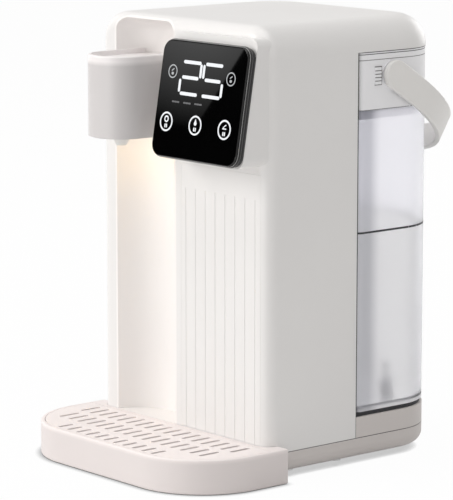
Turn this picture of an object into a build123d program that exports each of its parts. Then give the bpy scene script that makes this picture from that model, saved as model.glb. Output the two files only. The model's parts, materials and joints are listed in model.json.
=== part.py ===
from build123d import *
import math
import os

# Hot water dispenser. Millimetres, +Z up, front towards -Y, +X to the right.
# Y is counted from the fluted front plane while modelling; export centres the whole part.

# Driving sizes of the body
body_width = 170.3
body_height = 290.3
body_depth = 157.8
rear_round = 37.5
seam_depth = 76.7
base_bottom = 3.6
base_top = 17.6
canopy_height = 20.7
canopy_floor = 2.5
wall = 3.0
top_round = 19.6
cap_front = 20.0
cap_corner = 21.0
cap_depth = 60.0
front_edge_round = 9.5
base_round = 8.0
seam_line = 0.5
seam_line_depth = 0.8

# Fits
fit_gap = 0.1
slide_gap = 0.4
seat_gap = 0.2
overrun = 1.0

# Niche, a shallow upright channel for the cup
niche_margin = 17.85
niche_right = -6.8
niche_depth = 23.0
niche_crown = 3.2
niche_top_round = 9.0
liner_wall = 1.5

# Fluted fascia
fascia_left = 0.0
fascia_margin = 6.65
fascia_drop = 93.3
fascia_lift = 0.5
flute_first = 4.9
flute_last = 4.8
flute_count = 8
flute_width = 1.1
flute_depth = 0.35
flute_drop = 16.1

# Touch panel and its cradle
panel_margin = 1.85
panel_left = -0.1
panel_height = 74.9
panel_centre_y = -19.2
panel_drop = 48.8
panel_tilt = 9.6
panel_corner = 8.0
glass_thick = 1.6
frame_thick = 2.4
frame_lip = 0.7
frame_width = 5.0
case_thick = 3.0
board_thick = 1.6
display_inset = 7.0
digits_width = 44.0
digits_height = 28.0
digits_raise = 9.0
cradle_inset = 0.6
cradle_bottom_drop = 87.8
cradle_top_drop = 7.3
cradle_round = 6.0

# Spout
spout_y = -19.9
spout_radius = 21.5
spout_bottom_drop = 77.3
spout_top_drop = 24.1
spout_wall = 2.5
spout_dish = 3.2
spout_dish_rim = 2.0
spout_roof = 2.5
spout_floor_drop = 0.6
spout_floor_inset = 2.0
spout_edge_round = 1.2
nozzle_root_radius = 6.5
nozzle_tip_radius = 3.4
nozzle_bore = 2.5
nozzle_length = 6.0
nozzle_stub = 8.0
light_radius = 5.0
light_back = 16.0
light_thick = 1.5
light_board_width = 24.0
light_board_depth = 14.0

# Tank, collar, lid and dock
tank_gap = 1.0
tank_inset = 0.3
tank_wall = 2.5
tank_floor = 3.0
tank_bottom = 34.2
tank_corner = 5.0
collar_bottom_drop = 37.6
collar_top_drop = 5.6
collar_wall = 4.0
collar_skirt = 6.0
collar_skirt_wall = 2.0
lid_gap = 0.5
lid_line_drop = 1.9
lid_plug_depth = 4.0
lid_plug_wall = 2.5
dock_plate = 3.0
dock_top = 31.2
mat_inset = 1.6
mat_width = 8.0

# Spigot and socket, low on the tank's front wall
spigot_x = 30.0
spigot_z = 50.0
spigot_radius = 8.0
spigot_bore = 5.0
spigot_reach = 12.0
spigot_flange_radius = 12.0
spigot_flange = 2.5
strainer_length = 7.0
strainer_radius = 9.0
strainer_wall = 1.2
valve_length = 6.0
valve_slit = 0.8
socket_radius = 12.0
socket_length = 16.0
socket_flange_radius = 16.0
socket_flange = 2.5
socket_floor = 4.0
socket_clear = 0.3
seal_wire_radius = 1.15
seal_groove_width = 2.6
seal_inset = 6.0

# Level float on the tank floor
float_x = 52.0
float_share = 0.653
float_radius = 5.5
float_height = 7.0
float_travel = 8.0
float_lift = 0.6
post_radius = 1.8
post_base_radius = 4.5
post_base = 1.2
post_clip_radius = 3.4
post_clip = 1.2
float_clear = 0.35
sensor_length = 24.0
sensor_width = 8.0
sensor_thick = 4.0

# Bail
pivot_share = 0.367
pivot_drop = 15.8
bail_tilt = 32.4
bail_width = 19.1
bail_thick = 3.6
bail_clear = 1.4
bail_behind = 33.7
bail_flat = 6.5
bail_edge_round = 0.8
boss_radius = 9.4
boss_proud = 0.9
pin_radius = 4.0
pin_fit = 0.06
pin_bite = 2.2
pin_end_gap = 0.3
stop_width = 5.0
stop_height = 11.0
stop_gap = 1.2
stop_rib_count = 5
stop_rib_line = 0.7

# Drip tray and grid
tray_reach = 69.5
tray_half_width = 95.5
tray_top = 22.5
tray_wrap = 9.0
tray_corner = 51.0
tray_wall = 2.5
tray_floor = 2.5
tray_edge_round = 1.2
grid_thick = 2.4
grid_margin = 2.0
slot_width = 3.0
slot_length = 16.0
slot_front_length = 12.0
slot_side_margin = 11.0
slot_pitch = 9.7
slot_row_pitch = 21.4
slot_first_row = 10.9
slot_rows = 3
grid_leg_radius = 2.5

# Pump and heater line
hose_outer = 5.5
pipe_radius = 4.0
pipe_bore = 2.5
line_y = 42.0
pump_head_half = 7.0
pump_head_radius = 17.0
pump_cavity_radius = 13.0
pump_cavity_half = 4.0
pump_pipe = 5.8
outlet_pipe = 12.0
impeller_radius = 12.0
impeller_half = 3.0
vane_count = 6
vane_width = 1.4
hub_radius = 3.5
shaft_radius = 1.5
shaft_tail = 24.0
motor_radius = 15.0
motor_length = 30.0
shaft_fit = 0.08
cradle_block_width = 32.0
cradle_block_length = 20.0
cradle_block_cover = 9.0
heater_radius = 18.0
heater_wall = 2.0
heater_bottom = 104.0
heater_headroom = 52.0
cap_height = 8.0
cap_overlap = 1.5
clamp_thick = 3.0
clamp_height = 14.0
clamp_rise = 12.0
cutout_size = 12.0
cutout_thick = 5.0
cutout_drop = 10.0
probe_radius = 2.0
probe_length = 14.0
hot_drop = 50.3
hot_bend = 9.0

# Power board behind the niche
board_margin = 9.15
board_right = -2.0
board_bottom = 70.0
board_top = 190.0
board_face = 64.0
standoff_radius = 4.0
standoff_inset = 7.0
board_screw_radius = 1.4
board_screw_head = 3.0
board_screw_head_height = 2.0
board_screw_grip = 6.0
relay_width = 20.0
relay_length = 28.0
relay_height = 7.5
coil_radius = 12.0

# Base fittings
foot_radius = 9.0
foot_inset = 40.0
screw_front = 24.0
screw_radius = 1.5
screw_clear = 0.2
screw_head_radius = 3.5
screw_head = 3.0
screw_post_radius = 5.0
screw_post_bite = 0.5
screw_boss_height = 20.0
screw_grip = 12.0
gland_behind = 16.0
gland_radius = 4.8
gland_bore = 3.2
gland_flange_radius = 6.2
gland_flange = 1.6
gland_depth = 8.0

# Worked-out places
half_width = body_width / 2
canopy_bottom = body_height - canopy_height
niche_left = niche_margin - half_width
niche_top = body_height - niche_crown
fascia_right = half_width - fascia_margin
fascia_top = body_height - fascia_drop
flute_pitch = (fascia_right - flute_first - flute_last) / (flute_count - 1)
flute_top = fascia_top - flute_drop
panel_width = half_width - panel_margin - panel_left
panel_centre_x = panel_left + panel_width / 2
panel_centre_z = body_height - panel_drop
cradle_bottom = body_height - cradle_bottom_drop
cradle_top = body_height - cradle_top_drop
spout_bottom = body_height - spout_bottom_drop
spout_top = body_height - spout_top_drop
hot_level = body_height - hot_drop
heater_length = hot_level - heater_headroom - heater_bottom
collar_bottom = canopy_bottom - collar_bottom_drop
collar_top = canopy_bottom - collar_top_drop
lid_top = canopy_bottom - lid_gap
pivot_z = canopy_bottom - pivot_drop
board_left = board_margin - half_width
niche_width = niche_right - niche_left
niche_radius = ((niche_width / 2) ** 2 + niche_depth ** 2) / (2 * niche_depth)
niche_axis_x = (niche_right + niche_left) / 2
niche_axis_y = niche_depth - niche_radius
spout_x = niche_axis_x
tank_front = seam_depth + tank_gap
pivot_y = tank_front + pivot_share * (body_depth - tank_front)
float_y = tank_front + float_share * (body_depth - tank_front)
gland_y = seam_depth + gland_behind
gland_z = (base_top + dock_top) / 2
tank_half = half_width - tank_inset
boss_face = half_width + boss_proud
bail_inner_half = half_width + bail_clear
bay_wall_front = seam_depth - wall
pipe_sleeve = pipe_radius + fit_gap
tilt_sine = math.sin(math.radians(bail_tilt))
tilt_cosine = math.cos(math.radians(bail_tilt))
bail_reach = (body_depth - pivot_y + bail_behind) / tilt_cosine
bail_corner = bail_inner_half - bail_flat
bail_rear = pivot_y + (bail_reach + bail_thick - bail_edge_round) * tilt_cosine \
    + (bail_width / 2 - bail_edge_round) * tilt_sine + bail_edge_round
y_shift = (tray_reach - bail_rear) / 2
pieces = {}


def slab(x0, x1, y0, y1, z0, z1):
    return Pos((x0 + x1) / 2, (y0 + y1) / 2, (z0 + z1) / 2) * Box(abs(x1 - x0), y1 - y0, z1 - z0)


def post(x, y, z0, z1, radius):
    return Pos(x, y, (z0 + z1) / 2) * Cylinder(radius, z1 - z0)


def rod_y(x, z, y0, y1, radius):
    return Pos(x, (y0 + y1) / 2, z) * Rot(90, 0, 0) * Cylinder(radius, y1 - y0)


def rod_x(y, z, x0, x1, radius):
    return Pos((x0 + x1) / 2, y, z) * Rot(0, 90, 0) * Cylinder(radius, abs(x1 - x0))


def patch(x0, x1, y0, y1):
    return Pos((x0 + x1) / 2, (y0 + y1) / 2) * Rectangle(x1 - x0, y1 - y0)


def raised(face, z0, z1):
    return Pos(0, 0, z0) * extrude(face, z1 - z0)


def plan_face(front, inset, corner):
    # body outline seen from above, moved in by the inset, with its own front and front corner radius
    half = half_width - inset
    face = patch(-half, half, front, body_depth - inset)
    face = fillet(face.vertices().group_by(Axis.Y)[-1], rear_round - inset)
    return fillet(face.vertices().group_by(Axis.Y)[0], corner)


def front_profile(left, right, bottom, top, round_radius):
    # upright outline with both top corners rounded, in the XZ plane
    face = patch(left, right, bottom, top)
    return fillet(face.vertices().group_by(Axis.Y)[-1], round_radius)


def along_y(face, y0, y1):
    return Pos(0, y0, 0) * extrude(Plane.XZ * face, -(y1 - y0))


def outline_line(front, inset, corner, z0, z1):
    # shallow groove round an outline, the shadow line of a seam
    rim = raised(plan_face(front, inset, corner), z0, z1)
    deeper = inset + seam_line_depth
    return rim - raised(plan_face(front + seam_line_depth, deeper, corner - seam_line_depth), z0, z1)


def niche_solid(grow):
    # upright cylinder with a rounded top edge, so that the niche ends in a soft shallow roof
    column = post(niche_axis_x, niche_axis_y, tray_top - grow, niche_top + grow, niche_radius + grow)
    return fillet(column.edges().group_by(Axis.Z)[-1], niche_top_round + grow)


def front_block(inset, bottom):
    # front half of the body with its front edges rounded, moved in by the inset
    half = half_width - inset
    block = along_y(front_profile(-half, half, bottom, body_height - inset, top_round - inset), inset,
                    cap_depth)
    front_edges = block.edges().group_by(Axis.Y)[0].sort_by(Axis.Z)[1:]
    return fillet(front_edges, front_edge_round - inset)


def rear_block(inset, bottom):
    # rear part of the body with its rounded corners and crown, moved in by the inset
    block = raised(plan_face(cap_front + inset, inset, cap_corner - inset), bottom, body_height - inset)
    return fillet(block.edges().group_by(Axis.Z)[-1], top_round - inset)


def body_outside(bottom):
    return rear_block(0, bottom) + front_block(0, bottom)


def screw_places():
    edge = half_width - wall - screw_post_radius + screw_post_bite
    rear = bay_wall_front - screw_post_radius - wall
    return [(side * edge, y) for side in (-1, 1) for y in (screw_front, rear)]


def make_housing():
    shell = body_outside(base_top)
    bay = slab(-body_width, body_width, seam_depth, body_depth + overrun, 0, canopy_bottom)
    kept = slab(-body_width, body_width, seam_depth, body_depth, 0, canopy_bottom + canopy_floor)
    shell = shell - bay
    for inside in (rear_block(wall, base_top - overrun), front_block(wall, base_top - overrun)):
        shell = shell - (inside - kept)
    shell = shell - niche_solid(liner_wall)
    window = slab(fascia_left, fascia_right, -overrun, wall + overrun, tray_top + fascia_lift, fascia_top)
    shell = shell - window
    for x, y in screw_places():
        boss = post(x, y, base_top, base_top + screw_boss_height, screw_post_radius)
        pilot = post(x, y, base_top - overrun, base_top + screw_grip + overrun, screw_radius + fit_gap)
        shell = shell + boss - pilot
    pieces["housing_shell"] = shell


def make_base():
    pan = raised(plan_face(0, 0, front_edge_round), base_bottom, base_top)
    pan = fillet(pan.edges().group_by(Axis.Z)[0], base_round)
    pan = pan - raised(plan_face(wall, wall, front_edge_round - wall), base_bottom + wall, base_top)
    pan = pan - outline_line(0, 0, front_edge_round, base_top - seam_line, base_top)
    for x, y in screw_places():
        pan = pan + post(x, y, base_bottom + wall, base_top, screw_post_radius)
        pan = pan - post(x, y, 0, base_top + overrun, screw_radius + screw_clear)
        pan = pan - post(x, y, 0, base_bottom + screw_head, screw_head_radius + screw_clear)
    pieces["base_pan"] = pan
    screws = []
    for x, y in screw_places():
        head = post(x, y, base_bottom, base_bottom + screw_head, screw_head_radius)
        shank = post(x, y, base_bottom + screw_head, base_top + screw_grip, screw_radius)
        screws.append(head + shank)
    pieces["base_screws"] = screws
    foot_x = half_width - foot_inset
    spots = [(side * foot_x, y) for side in (-1, 1) for y in (foot_inset, body_depth - foot_inset)]
    pieces["rubber_feet"] = [post(x, y, 0, base_bottom, foot_radius) for x, y in spots]
    flange = rod_x(gland_y, gland_z, -half_width - gland_flange, -half_width, gland_flange_radius)
    barrel = rod_x(gland_y, gland_z, -half_width, -half_width + gland_depth, gland_radius - fit_gap)
    bore = rod_x(gland_y, gland_z, -body_width, 0, gland_bore)
    pieces["cord_gland"] = flange + barrel - bore


def make_front():
    bottom = tray_top + fascia_lift
    plate = slab(fascia_left + fit_gap, fascia_right - fit_gap, 0, wall, bottom + fit_gap,
                 fascia_top - fit_gap)
    for index in range(flute_count):
        x = flute_first + index * flute_pitch
        sides = slab(x - flute_width / 2, x + flute_width / 2, -overrun, flute_depth, 0, flute_top)
        rounded = fillet(sides.edges().filter_by(Axis.Z).group_by(Axis.Y)[-1], flute_depth)
        plate = plate - rounded
    pieces["front_fascia"] = plate & front_block(0, base_top)
    liner = (niche_solid(liner_wall) - niche_solid(0)) & body_outside(base_top)
    hose_way = rod_y(spout_x, hot_level, 0, body_depth, hose_outer + slide_gap)
    pieces["niche_liner"] = liner - hose_way


def panel_plane(depth):
    # plane parallel to the glass, depth behind its face
    sine = math.sin(math.radians(panel_tilt))
    cosine = math.cos(math.radians(panel_tilt))
    origin = (panel_centre_x, panel_centre_y + depth * cosine, panel_centre_z - depth * sine)
    return Plane(origin=origin, x_dir=(1, 0, 0), z_dir=(0, -cosine, sine))


def panel_layer(depth, thick, grow):
    face = RectangleRounded(panel_width + 2 * grow, panel_height + 2 * grow, panel_corner + grow)
    return extrude(panel_plane(depth + thick) * face, thick)


def make_panel():
    frame_depth = glass_thick + frame_thick
    stack = frame_depth + case_thick
    pieces["panel_glass"] = panel_layer(0, glass_thick, 0)
    ring = panel_layer(glass_thick, frame_thick, frame_lip) - panel_layer(glass_thick, frame_thick,
                                                                          -frame_width)
    pieces["panel_frame"] = ring
    board_face_shape = RectangleRounded(panel_width - 2 * display_inset, panel_height - 2 * display_inset,
                                        panel_corner)
    board = extrude(panel_plane(frame_depth + board_thick) * board_face_shape, board_thick)
    pieces["panel_case"] = panel_layer(frame_depth, case_thick, 0) - board
    pieces["display_board"] = board
    digits_face = Pos(0, digits_raise) * Rectangle(digits_width, digits_height)
    pieces["digit_module"] = extrude(panel_plane(frame_depth) * digits_face, frame_thick - fit_gap)
    cradle_half = panel_width / 2 - cradle_inset
    left = panel_centre_x - cradle_half
    right = panel_centre_x + cradle_half
    wedge = slab(left, right, -2 * panel_width, top_round, cradle_bottom, cradle_top)
    side_edges = wedge.edges().filter_by(Axis.Y)
    wedge = fillet(side_edges, cradle_round)
    ahead = extrude(panel_plane(stack) * Rectangle(2 * body_width, 2 * body_width), 2 * body_width)
    pieces["panel_cradle"] = wedge - ahead - body_outside(base_top)


def spout_face(grow):
    radius = spout_radius + grow
    straight = patch(spout_x - radius, spout_x + radius, spout_y, body_depth)
    return straight + Pos(spout_x, spout_y) * Circle(radius)


def make_spout():
    reach = niche_solid(-fit_gap) + slab(niche_left, niche_right, spout_y - 2 * spout_radius, niche_axis_y,
                                         0, body_height)
    roof = spout_top - spout_dish - spout_roof
    head = raised(spout_face(0), spout_bottom, spout_top)
    head = fillet(head.edges().group_by(Axis.Z)[-1], spout_edge_round)
    head = head - raised(spout_face(-spout_wall), spout_bottom, roof)
    head = head - raised(spout_face(-spout_dish_rim), spout_top - spout_dish, spout_top)
    pieces["spout_head"] = head & reach
    floor_bottom = spout_bottom - spout_floor_drop
    plate = raised(spout_face(-spout_floor_inset), floor_bottom, spout_bottom)
    plate = plate + raised(spout_face(-spout_wall - fit_gap), spout_bottom, spout_bottom + spout_wall)
    stub_hole = post(spout_x, spout_y, 0, body_height, pipe_radius + fit_gap)
    light_y = spout_y + light_back
    light_hole = post(spout_x, light_y, 0, body_height, light_radius + fit_gap)
    pieces["spout_floor"] = (plate & reach) - stub_hole - light_hole
    tip = floor_bottom - nozzle_length
    cone = Pos(spout_x, spout_y, (tip + floor_bottom) / 2) * Cone(nozzle_tip_radius, nozzle_root_radius,
                                                                  nozzle_length)
    stub = post(spout_x, spout_y, floor_bottom, spout_bottom + spout_wall + nozzle_stub, pipe_radius)
    pieces["spout_nozzle"] = cone + stub - post(spout_x, spout_y, 0, body_height, nozzle_bore)
    lens_top = spout_bottom + spout_wall
    pieces["spout_light"] = post(spout_x, light_y, floor_bottom, lens_top, light_radius)
    board = slab(spout_x - light_board_width / 2, spout_x + light_board_width / 2,
                 light_y - light_board_depth / 2,
                 light_y + light_board_depth / 2, lens_top, lens_top + light_thick)
    pieces["light_board"] = board - post(spout_x, spout_y, 0, body_height, hose_outer + slide_gap)


def make_tank():
    shell = raised(plan_face(tank_front, tank_inset, tank_corner), tank_bottom, collar_bottom)
    hollow = raised(plan_face(tank_front + tank_wall, tank_inset + tank_wall, tank_corner - tank_wall),
                    tank_bottom + tank_floor, collar_bottom)
    spigot_hole = rod_y(spigot_x, spigot_z, seam_depth, pivot_y, spigot_radius + fit_gap)
    pieces["tank_shell"] = shell - hollow - spigot_hole
    collar = raised(plan_face(tank_front, tank_inset, tank_corner), collar_bottom, collar_top)
    for side in (-1, 1):
        collar = collar + rod_x(pivot_y, pivot_z, side * (tank_half - 2 * collar_wall), side * boss_face,
                                boss_radius)
        stop_y = pivot_y - bail_width / 2 - stop_gap
        stop_bottom = pivot_z - stop_height / 2
        collar = collar + slab(side * boss_face, side * (tank_half - collar_wall), stop_y - stop_width,
                               stop_y,
                               stop_bottom, stop_bottom + stop_height)
        for index in range(1, stop_rib_count):
            line_z = stop_bottom + index * stop_height / stop_rib_count
            collar = collar - slab(side * boss_face, side * (boss_face - stop_rib_line),
                                   stop_y - stop_width, stop_y,
                                   line_z - stop_rib_line / 2, line_z + stop_rib_line / 2)
    inner = plan_face(tank_front + collar_wall, tank_inset + collar_wall, tank_corner - collar_wall)
    collar = collar - raised(inner, collar_bottom, collar_top)
    skirt_gap = tank_wall + seat_gap
    skirt = plan_face(tank_front + skirt_gap, tank_inset + skirt_gap, tank_corner - skirt_gap)
    skirt_in = skirt_gap + collar_skirt_wall
    skirt_hole = plan_face(tank_front + skirt_in, tank_inset + skirt_in, seat_gap)
    collar = collar + raised(skirt, collar_bottom - collar_skirt, collar_bottom) \
        - raised(skirt_hole, collar_bottom - collar_skirt, collar_bottom)
    pin_hole = rod_x(pivot_y, pivot_z, -body_width, body_width, pin_radius)
    pieces["tank_collar"] = collar - pin_hole
    plug_gap = collar_wall + seat_gap
    plug = plan_face(tank_front + plug_gap, tank_inset + plug_gap, tank_corner - collar_wall)
    plug_in = plug_gap + lid_plug_wall
    plug_hole = plan_face(tank_front + plug_in, tank_inset + plug_in, seat_gap)
    lid = raised(plan_face(tank_front, tank_inset, tank_corner), collar_top, lid_top)
    lid = lid + raised(plug, collar_top - lid_plug_depth, collar_top)
    lid = lid - raised(plug_hole, collar_top - lid_plug_depth, collar_top)
    lid = lid - outline_line(tank_front, tank_inset, tank_corner, collar_top, collar_top + seam_line)
    line_bottom = canopy_bottom - lid_line_drop
    lid = lid - outline_line(tank_front, tank_inset, tank_corner, line_bottom, line_bottom + seam_line)
    for side in (-1, 1):
        boss_way = slab(0, side * body_width, pivot_y - boss_radius - slide_gap,
                        pivot_y + boss_radius + slide_gap,
                        collar_top - lid_plug_depth - overrun, collar_top)
        lid = lid - boss_way
    pieces["tank_lid"] = lid


def make_dock():
    dock_face = plan_face(seam_depth + seam_line, 0, seat_gap)
    dock = raised(dock_face, base_top, dock_top)
    cavity = plan_face(seam_depth + wall, wall, seat_gap)
    gland_hole = rod_x(gland_y, gland_z, -half_width - overrun, -half_width + gland_depth, gland_radius)
    pieces["tank_dock"] = dock - raised(cavity, base_top, dock_top - dock_plate) - gland_hole
    mat = raised(plan_face(seam_depth + mat_inset, mat_inset, seat_gap), dock_top, tank_bottom)
    mat_hole = mat_inset + mat_width
    pieces["dock_mat"] = mat - raised(plan_face(seam_depth + mat_hole, mat_hole, seat_gap), dock_top,
                                      tank_bottom)
    under = dock_top - dock_plate
    pieces["float_sensor"] = slab(float_x - sensor_length / 2, float_x + sensor_length / 2,
                                  float_y - sensor_width / 2,
                                  float_y + sensor_width / 2, under - sensor_thick, under)


def make_spigot():
    inner_wall = tank_front + tank_wall
    tip = tank_front - spigot_reach
    tube = rod_y(spigot_x, spigot_z, tip, inner_wall, spigot_radius)
    flange = rod_y(spigot_x, spigot_z, inner_wall, inner_wall + spigot_flange, spigot_flange_radius)
    bore = rod_y(spigot_x, spigot_z, 0, body_depth, spigot_bore)
    pieces["tank_spigot"] = tube + flange - bore
    plug = rod_y(spigot_x, spigot_z, tip + valve_length, tip + 2 * valve_length, spigot_bore - fit_gap / 2)
    slit = slab(spigot_x - spigot_bore / 2, spigot_x + spigot_bore / 2, 0, body_depth,
                spigot_z - valve_slit / 2,
                spigot_z + valve_slit / 2)
    pieces["spigot_valve"] = plug - slit
    start = inner_wall + spigot_flange
    cup = rod_y(spigot_x, spigot_z, start, start + strainer_length, strainer_radius)
    cup = cup - rod_y(spigot_x, spigot_z, start, start + strainer_length - strainer_wall,
                      strainer_radius - strainer_wall)
    for index in range(vane_count):
        turn = Pos(spigot_x, start + strainer_length / 2, spigot_z) * Rot(0, index * 360 / vane_count, 0)
        cup = cup - turn * Pos(strainer_radius, 0, 0) * Box(strainer_radius, strainer_length / 2,
                                                            strainer_wall)
    pieces["spigot_strainer"] = cup
    mouth_floor = seam_depth - socket_length + socket_floor
    socket = rod_y(spigot_x, spigot_z, seam_depth - socket_length, seam_depth, socket_radius)
    socket = socket + rod_y(spigot_x, spigot_z, bay_wall_front - socket_flange, bay_wall_front,
                            socket_flange_radius)
    tail = seam_depth - socket_length - pump_pipe
    socket = socket + rod_y(spigot_x, spigot_z, tail, seam_depth - socket_length, pipe_radius)
    socket = socket - rod_y(spigot_x, spigot_z, mouth_floor, seam_depth, spigot_radius + socket_clear)
    socket = socket - rod_y(spigot_x, spigot_z, 0, seam_depth, pipe_bore)
    groove_mid = seam_depth - seal_inset
    groove_radius = spigot_radius + socket_clear + 2 * seal_wire_radius + fit_gap
    groove = rod_y(spigot_x, spigot_z, groove_mid - seal_groove_width / 2,
                   groove_mid + seal_groove_width / 2,
                   groove_radius)
    pieces["dock_socket"] = socket - groove
    ring_radius = spigot_radius + socket_clear + seal_wire_radius
    pieces["socket_seal"] = Pos(spigot_x, groove_mid, spigot_z) * Rot(90, 0, 0) * Torus(ring_radius,
                                                                                        seal_wire_radius)


def make_float():
    ground = tank_bottom + tank_floor
    top = ground + post_base + float_lift + float_height + float_travel + float_lift
    stem = post(float_x, float_y, ground, ground + post_base, post_base_radius)
    stem = stem + post(float_x, float_y, ground + post_base, top, post_radius)
    pieces["float_guide"] = stem + post(float_x, float_y, top, top + post_clip, post_clip_radius)
    low = ground + post_base + fit_gap
    bob = fillet(post(float_x, float_y, low, low + float_height, float_radius).edges(), post_base)
    pieces["level_float"] = bob - post(float_x, float_y, 0, body_height, post_radius + float_clear)


def make_bail():
    plane = Plane(origin=(0, pivot_y, pivot_z), x_dir=(1, 0, 0), z_dir=(0, tilt_sine, tilt_cosine))
    eye = bail_width / 2
    outer_half = bail_inner_half + bail_thick
    outer = patch(-outer_half, outer_half, -eye, bail_reach + bail_thick)
    outer = fillet(outer.vertices().group_by(Axis.Y)[-1], bail_corner + bail_thick)
    inner = patch(-bail_inner_half, bail_inner_half, -eye, bail_reach)
    inner = fillet(inner.vertices().group_by(Axis.Y)[-1], bail_corner)
    band = extrude(plane * (outer - inner), eye, both=True)
    side_plane = Plane(origin=(-body_width, pivot_y, pivot_z), x_dir=(0, tilt_cosine, -tilt_sine),
                       z_dir=(1, 0, 0))
    side = patch(0, bail_reach + bail_thick, -eye, eye) + Circle(eye)
    band = band & extrude(side_plane * side, 2 * body_width)
    band = fillet(band.edges().filter_by(lambda edge: edge.length > bail_width), bail_edge_round)
    pin_end = bail_inner_half + pin_bite
    pins = []
    for side_sign in (-1, 1):
        root = side_sign * (tank_half - 2 * collar_wall)
        pins.append(rod_x(pivot_y, pivot_z, root, side_sign * pin_end, pin_radius))
        band = band - rod_x(pivot_y, pivot_z, root, side_sign * (pin_end + pin_end_gap),
                            pin_radius + pin_fit)
    pieces["handle_bail"] = band
    pieces["handle_pins"] = pins


def tray_face(grow):
    side = half_width + slide_gap
    outline = patch(-tray_half_width, tray_half_width, -tray_reach, tray_wrap)
    outline = fillet(outline.vertices().group_by(Axis.Y)[0], tray_corner)
    body = patch(-side, side, -slide_gap, body_depth)
    body = fillet(body.vertices().group_by(Axis.Y)[0], front_edge_round + slide_gap)
    outline = outline - body
    if grow < 0:
        outline = offset(outline, grow, kind=Kind.INTERSECTION)
        outline = outline & patch(-tray_half_width, tray_half_width, -tray_reach, grow - slide_gap)
    return outline


def grid_slots(allowed):
    # rows of slots along Y, every second row moved half a pitch; the front row is shorter
    found = []
    side_limit = tray_half_width - slot_side_margin
    count = int(side_limit / slot_pitch)
    for row in range(slot_rows):
        y = -tray_reach + slot_first_row + row * slot_row_pitch
        length = slot_length if row else slot_front_length
        for index in range(-count - 1, count + 1):
            x = (index + (row % 2) / 2) * slot_pitch
            ends = [(x + dx * slot_width / 2, y + dy * length / 2) for dx in (-1, 1) for dy in (-1, 1)]
            inside = all(allowed.is_inside(Vector(px, py, 0)) for px, py in ends)
            if inside and abs(x) < side_limit:
                found.append(Pos(x, y) * SlotOverall(length, slot_width, rotation=90))
    return found


def make_tray():
    tray = raised(tray_face(0), 0, tray_top)
    for level in (0, -1):
        rim = tray.edges().group_by(Axis.Z)[level]
        outer = rim.filter_by(lambda edge: edge.center().Y < -tray_wall
                              or abs(edge.center().X) > half_width + tray_wall)
        outside = outer - outer.group_by(Axis.Y)[-1]
        tray = fillet(outside, tray_edge_round)
    cavity = raised(tray_face(-tray_wall), tray_floor, tray_top)
    pieces["drip_tray"] = tray - cavity
    plate = tray_face(-tray_wall - slide_gap)
    allowed = tray_face(-tray_wall - grid_margin).faces()[0]
    for slot in grid_slots(allowed):
        plate = plate - slot
    grid = raised(plate, tray_top - grid_thick, tray_top)
    leg_x = tray_half_width - tray_corner
    front_y = -tray_reach + tray_corner / 2
    rear_y = -tray_wall - 2 * grid_leg_radius - grid_margin
    for x, y in [(x, y) for x in (-leg_x, 0, leg_x) for y in (front_y, rear_y)]:
        grid = grid + post(x, y, tray_floor, tray_top - grid_thick / 2, grid_leg_radius)
    pieces["drip_grid"] = grid


def make_pump():
    front = line_y - pump_head_half
    rear = line_y + pump_head_half
    head = rod_y(spigot_x, spigot_z, front, rear, pump_head_radius)
    head = head + rod_y(spigot_x, spigot_z, rear, rear + pump_pipe, pipe_radius)
    outlet_top = spigot_z + pump_head_radius + outlet_pipe
    head = head + post(spigot_x, line_y, spigot_z + pump_cavity_radius, outlet_top, pipe_radius)
    head = head - rod_y(spigot_x, spigot_z, line_y - pump_cavity_half, line_y + pump_cavity_half,
                        pump_cavity_radius)
    head = head - rod_y(spigot_x, spigot_z, line_y, rear + pump_pipe, pipe_bore)
    head = head - post(spigot_x, line_y, spigot_z, outlet_top, pipe_bore)
    head = head - rod_y(spigot_x, spigot_z, front, line_y, shaft_radius + shaft_fit)
    pieces["pump_head"] = head
    motor = rod_y(spigot_x, spigot_z, front - motor_length, front, motor_radius)
    pieces["pump_motor"] = motor - rod_y(spigot_x, spigot_z, front - shaft_tail - overrun, front,
                                         shaft_radius + shaft_fit)
    wheel = rod_y(spigot_x, spigot_z, line_y - impeller_half, line_y, impeller_radius)
    wheel = wheel + rod_y(spigot_x, spigot_z, line_y, line_y + impeller_half, hub_radius)
    for index in range(vane_count):
        turn = Pos(spigot_x, line_y + impeller_half / 2, spigot_z) * Rot(0, index * 360 / vane_count, 0)
        reach = impeller_radius - hub_radius / 2
        vane = Pos(impeller_radius - overrun / 2 - reach / 2, 0, 0) * Box(reach, impeller_half, vane_width)
        wheel = wheel + turn * vane
    pieces["pump_impeller"] = wheel + rod_y(spigot_x, spigot_z, front - shaft_tail, line_y - impeller_half,
                                            shaft_radius)
    block_mid = front - motor_length / 2
    block = slab(spigot_x - cradle_block_width / 2, spigot_x + cradle_block_width / 2,
                 block_mid - cradle_block_length / 2, block_mid + cradle_block_length / 2,
                 base_bottom + wall, spigot_z - cradle_block_cover)
    pieces["pump_cradle"] = block - rod_y(spigot_x, spigot_z, 0, line_y, motor_radius + fit_gap)
    inlet = rod_y(spigot_x, spigot_z, rear + fit_gap, seam_depth - socket_length - fit_gap, hose_outer)
    pieces["inlet_hose"] = inlet - rod_y(spigot_x, spigot_z, 0, seam_depth, pipe_sleeve)


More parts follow.
